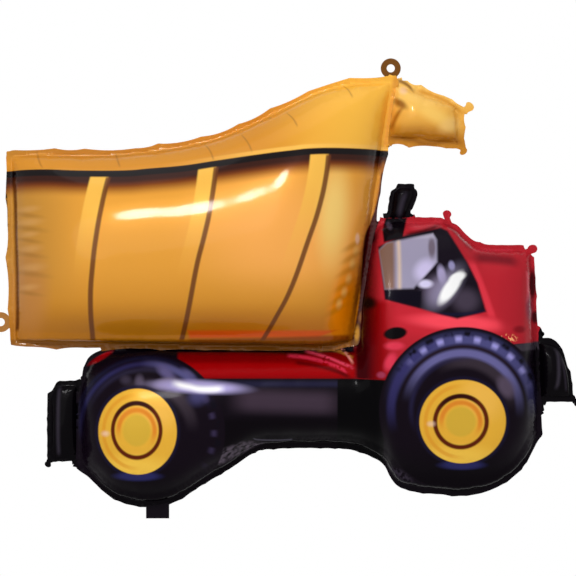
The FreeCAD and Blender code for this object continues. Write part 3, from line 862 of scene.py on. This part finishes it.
def tyre(p, centre, size, blocks, shades):
    """A tyre from its sidewall to its tread, lit from above.

    blocks are the tread's bright marks: count, shift, angle, reach and colour. Each of the shades
    is an arc: share of the radius, width, colour, angle, reach and strength.
    """
    around = p.radius(centre)
    disc = around.fade(size + 1.5, size - 1.5)
    p.coat((18, 9, 20), disc)
    p.room = disc
    p.coat((58, 48, 58), around.within(size * 0.52, size * 0.66, 6) * p.toward(centre, 62, 42, 24) * 0.9)
    for share, width, colour, angle, reach, strength in shades:
        ring = (around - size * share).math("ABSOLUTE").fade(width / 2 + 4, width / 2 - 4)
        p.coat(colour, ring * p.toward(centre, angle, reach, 30) * strength)
    count, shift, angle, reach, colour = blocks
    places = p.local(centre).fed("ShaderNodeSeparateXYZ").outputs
    x, z = Field(p.tree, places["X"]), Field(p.tree, places["Z"])
    wave = (z.math("ARCTAN2", x) * count + shift).math("COSINE")
    spots = around.within(size * 0.83, size * 0.89, 5) * wave.fade(-0.1, 1.0)
    p.coat(colour, spots * p.toward(centre, angle, reach, 16))
    notches = around.within(size * 0.89, size * 0.95, 4) * wave.fade(0.2, -0.8)
    notches = notches * p.noise(16).fade(0.36, 0.52)
    p.coat((14, 10, 22), notches * p.toward(centre, angle, reach + 18, 16))
    p.coat((4, 1, 5), (p.z - centre[1]).fade(size * -0.35, size * -0.85) * 0.8)
    p.room = None


def hub(p, centre, size, squeeze, ring_centre, ring_size, ring_squeeze):
    """A golden hub with a brown groove, a navy shadow round it, a painted navy highlight under it, and a
    painted glint on its face.
    """
    def beside(ahead, up):
        return centre[0] + size * ahead, centre[1] + size * up

    around = p.radius(centre, squeeze)
    p.coat((24, 20, 46), around.fade(size + 8, size + 3.2) * 0.8)
    p.coat((44, 44, 98), p.blob((centre[0], centre[1] - size - 3.2), (size * 0.5, 7.2), 0, 0.4))
    disc = around.fade(size + 1.5, size - 1.5)
    p.coat((240, 182, 60), disc)
    p.room = disc
    p.coat((248, 190, 80), p.blob(beside(0.45, 0.55), (size * 0.5, size * 0.4), -45, 0.6))
    p.coat((255, 204, 78), p.blob(beside(-0.1, -0.9), (size * 0.9, size * 0.3), 0, 0.6))
    step = (around - size * 0.86).math("ABSOLUTE").fade(5, 1)
    p.coat((232, 150, 40), step * p.toward(centre, 180, 80, 20) * 0.6)

    # Brown groove, and the orange and gold inside it
    groove = p.radius(ring_centre, ring_squeeze)
    p.coat((96, 34, 12), groove.within(ring_size - 3.5, ring_size + 3.5, 1.8))
    dark = groove.within(ring_size - 3.2, ring_size + 3.2, 2)
    p.coat((50, 16, 12), dark * p.toward(ring_centre, 100, 40, 20))
    glow = groove.within(ring_size * 0.66, ring_size * 0.84, 3)
    p.coat((232, 140, 44), glow * p.toward(ring_centre, 80, 110, 30))
    p.coat((222, 178, 60), groove.fade(ring_size * 0.66, ring_size * 0.5))
    # Painted glint on the hub's face
    p.coat((255, 216, 190), p.blob(beside(-0.75, -0.05), (5.6, 4), 0, 0.8) * 0.6)
    p.room = None


def front_print():
    """Front of the lower chamber: frame, cab and front wheel."""
    p = Print("cab_foil", (16, 9, 18))
    chassis_coats(p)
    cab_coats(p)
    tyre(p, front_tyre, front_tyre_r, (24, -1.47, 80, 50, (164, 158, 226)), [
        (0.69, 12.8, (106, 102, 156), 82, 62, 1.0),
        (0.77, 4, (40, 27, 40), 90, 50, 0.9),
        (0.85, 14.4, (78, 76, 128), 82, 64, 1.0),
        (0.93, 6.4, (52, 52, 92), 90, 60, 0.8),
        (0.86, 12.8, (54, 50, 104), 148, 22, 0.8),
        (0.62, 6.4, (44, 40, 78), 140, 40, 0.6),
    ])
    # Painted lilac sheen beside the front tyre, and painted sheen on the crumples below it
    p.coat((92, 78, 98), p.blob((362, -131), (17.6, 11.2), -60, 0.5) * 0.9)
    p.coat((56, 48, 62), p.noise(7, 2.0).fade(0.4, 0.6) * p.blob((197, -272), (19.2, 6.4), -33, 0.6) * 0.8)
    hub(p, front_hub, front_hub_r, 1.03, front_groove, front_groove_r, 1.0)
    return p.finish(dark_gloss, 0.05)


def rear_print():
    """Rear of the lower chamber: tank, frame and rear wheel."""
    p = Print("chassis_foil", (16, 9, 18))
    tank_coats(p)
    chassis_coats(p)
    tyre(p, rear_tyre, rear_tyre_r, (24, 0.63, 8, 30, (56, 46, 76)), [
        (0.86, 6.4, (46, 44, 92), 105, 60, 0.9),
        (0.93, 4.8, (26, 26, 54), 100, 60, 0.9),
        (0.79, 6.4, (52, 48, 78), 95, 45, 0.5),
        (0.86, 9.6, (92, 90, 142), 60, 8, 0.8),
    ])

    # Painted glints on the tread and the sidewall, the painted white highlight that runs over the tank with
    # its lilac glow, and painted shade under the bed
    p.coat((104, 96, 146), p.blob((-176, -109), (14.4, 7.2), -35, 0.7) * 0.8)
    p.coat((92, 88, 138), p.blob((-139, -112), (12.8, 4.8), -38, 0.7) * 0.8)
    p.coat((94, 84, 106), p.blob((-218, -123), (6.4, 9.6), 0, 0.7) * 0.8)
    p.coat((62, 54, 72), p.blob((-240, -120), (8, 6.4), 0, 0.7) * 0.8)
    p.coat((132, 120, 148), p.blob((-176, -125), (16, 7.2), 10, 0.7) * 0.9)
    p.coat((70, 66, 112), p.blob((-126, -147), (12.8, 11.2), 20, 0.8) * 0.8)
    p.coat((168, 158, 208), p.blob((-123, -131), (67.2, 9.6), -3, 0.5))
    p.coat((255, 255, 255), p.stroke([(-162, -126), (-139, -131), (-114, -135), (-88, -134)], 8, 5))
    p.coat((6, 2, 8), p.blob((-200, -70), (35.2, 6.4), 0, 0.4))
    hub(p, rear_hub, rear_hub_r, 0.92, rear_groove, rear_groove_r, 0.88)
    return p.finish(dark_gloss, 0.05)


def visor_print():
    """Visor: gold, lighter towards the top, with painted shade in the folds at its root and along its lower
    edge, and painted highlights.
    """
    p = Print("visor_foil", (244, 178, 72))
    p.coat((255, 200, 98), p.z.fade(301, 333))
    p.coat((196, 126, 26), p.z.fade(298, 269) * 0.9)
    p.coat((216, 142, 30), p.stroke([(226, 341), (269, 325), (296, 306)], 6.4, 4) * 0.8)
    p.coat((160, 98, 14), p.stroke([(181, 267), (213, 264), (245, 256), (269, 261), (296, 258)], 8, 5) * 0.9)
    p.coat((150, 90, 20), p.blob((197, 320), (11.2, 5.6), -35, 0.7) * 0.9)
    p.coat((168, 98, 12), p.stroke([(182, 278), (190, 298), (200, 314)], 6.4, 4) * 0.9)
    p.coat((116, 66, 14), p.stroke([(192, 358), (203, 354), (218, 341)], 6.4, 3) * 0.8)
    p.coat((255, 206, 150), p.blob((202, 341), (5.6, 5.6), 0, 0.7))
    p.coat((255, 206, 104), p.blob((254, 301), (38.4, 11.2), -30, 0.8) * 0.8)
    p.coat((255, 204, 116), p.blob((274, 285), (14.4, 9.6), 20, 0.8) * 0.8)
    return p.finish(bright_gloss, 0.12)


def stack_print():
    """Exhaust stack: black, with one pale streak."""
    p = Print("stack_foil", (10, 6, 11))
    p.coat((72, 64, 80), p.stroke([(194, 131), (198, 154), (205, 176)], 6.4, 4) * 0.45)
    return p.finish(dark_gloss, 0.05)


def flap_print():
    """Rear flap: black, with one pale streak."""
    p = Print("flap_foil", (5, 3, 6))
    p.coat((58, 52, 64), p.stroke([(-349, -240), (-350, -186), (-347, -134)], 4.8, 3) * 0.7)
    return p.finish(dark_gloss, 0.05)


def bumper_print():
    """Front bumper: black, with two painted highlights."""
    p = Print("bumper_foil", (8, 5, 9))
    p.coat((64, 58, 70), p.stroke([(446, -134), (450, -102), (445, -74)], 4.8, 3) * 0.7)
    p.coat((52, 46, 58), p.stroke([(462, -138), (459, -109), (454, -86)], 3.2, 2) * 0.6)
    return p.finish(dark_gloss, 0.06)


def plain_foil(name, colour):
    """Foil of one colour, for the flat tabs and the neck."""
    return Print(name, colour).finish(dark_gloss, 0.05)


# Studio


def backdrop_material():
    """Pale floor that the camera, gloss and glass see as white."""
    material = bpy.data.materials.new("pale_floor")
    material.use_nodes = True
    tree = material.node_tree
    diffuse = tree.nodes.new("ShaderNodeBsdfDiffuse")
    diffuse.inputs["Color"].default_value = srgb(235, 235, 235)
    glow = tree.nodes.new("ShaderNodeEmission")
    mix = tree.nodes.new("ShaderNodeMixShader")
    tree.links.new(plain_sight(tree), mix.inputs[0])
    tree.links.new(diffuse.outputs[0], mix.inputs[1])
    tree.links.new(glow.outputs[0], mix.inputs[2])
    tree.links.new(mix.outputs[0], tree.nodes["Material Output"].inputs["Surface"])
    return material


def plain_sight(tree):
    """1 for the rays of the camera, of gloss and of glass."""
    path = tree.nodes.new("ShaderNodeLightPath")
    total = path.outputs["Is Camera Ray"]
    for kind in ("Is Glossy Ray", "Is Transmission Ray"):
        largest = tree.nodes.new("ShaderNodeMath")
        largest.operation = "MAXIMUM"
        tree.links.new(total, largest.inputs[0])
        tree.links.new(path.outputs[kind], largest.inputs[1])
        total = largest.outputs[0]
    return total


def studio():
    """White surround, and a pale floor under the balloon."""
    world = bpy.data.worlds.new("studio")
    bpy.context.scene.world = world
    world.use_nodes = True
    tree = world.node_tree
    pale = tree.nodes["Background"]
    pale.inputs["Color"].default_value = surround
    pale.inputs["Strength"].default_value = surround_strength
    white = tree.nodes.new("ShaderNodeBackground")
    white.inputs["Color"].default_value = (1, 1, 1, 1)
    mix = tree.nodes.new("ShaderNodeMixShader")
    tree.links.new(plain_sight(tree), mix.inputs[0])
    tree.links.new(pale.outputs[0], mix.inputs[1])
    tree.links.new(white.outputs[0], mix.inputs[2])
    tree.links.new(mix.outputs[0], tree.nodes["World Output"].inputs["Surface"])

    mesh = bpy.data.meshes.new("floor")
    sides = [(-1, -1), (1, -1), (1, 1), (-1, 1)]
    corners = [(x * floor_half, y * floor_half, floor_level) for x, y in sides]
    mesh.from_pydata(corners, [], [(0, 1, 2, 3)])
    mesh.materials.append(backdrop_material())
    floor = bpy.data.objects.new("floor", mesh)
    bpy.context.scene.collection.objects.link(floor)


def lamp(name, place, aim, size, watts):
    """A soft oval lamp, wide and high as size says, turned towards aim."""
    light = bpy.data.lights.new(name, "AREA")
    light.shape = "ELLIPSE"
    light.size, light.size_y = size
    light.energy = watts
    thing = bpy.data.objects.new(name, light)
    thing.location = place
    thing.rotation_euler = (Vector(aim) - Vector(place)).to_track_quat("-Z", "Y").to_euler()
    bpy.context.scene.collection.objects.link(thing)


def camera():
    """Straight side view from far off, with the photograph's frame."""
    lens = bpy.data.cameras.new("camera")
    lens.sensor_width = 36.0
    lens.lens = lens.sensor_width * camera_distance / frame_width
    lens.clip_end = 100
    eye = bpy.data.objects.new("camera", lens)
    eye.location = (frame_centre_x, -camera_distance, frame_centre_z)
    eye.rotation_euler = (math.pi / 2, 0, 0)
    bpy.context.scene.collection.objects.link(eye)
    bpy.context.scene.camera = eye


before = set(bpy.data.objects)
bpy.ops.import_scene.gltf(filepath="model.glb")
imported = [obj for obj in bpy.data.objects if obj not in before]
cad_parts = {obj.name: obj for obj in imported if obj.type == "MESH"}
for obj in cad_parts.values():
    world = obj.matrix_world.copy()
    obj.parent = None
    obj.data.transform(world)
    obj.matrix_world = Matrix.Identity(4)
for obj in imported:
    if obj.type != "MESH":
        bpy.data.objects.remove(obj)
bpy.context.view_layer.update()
bpy.context.scene.view_settings.view_transform = "Standard"

studio()
for name, values in lamps.items():
    lamp(name, *values)
camera()

prints = {
    "bed": [bed_print()],
    "lower": [rear_print(), front_print()],
    "visor": [visor_print()],
    "stack": [stack_print()],
    "flap": [flap_print()],
    "bumper": [bumper_print()],
}
for number, chamber in enumerate(chambers):
    for side in ("right", "left"):
        piece = film_piece(chamber, side, seed=number * 20 + (10 if side == "left" else 0))
        for material in prints[chamber]:
            piece.data.materials.append(material)
tabs = {
    "back_hang_tab": plain_foil("hang_tab_foil", (176, 120, 60)),
    "top_hang_tab": plain_foil("hang_tab_foil", (120, 76, 30)),
    "filling_neck": plain_foil("neck_foil", (18, 12, 20)),
}
for name, material in tabs.items():
    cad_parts[name].data.materials.clear()
    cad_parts[name].data.materials.append(material)
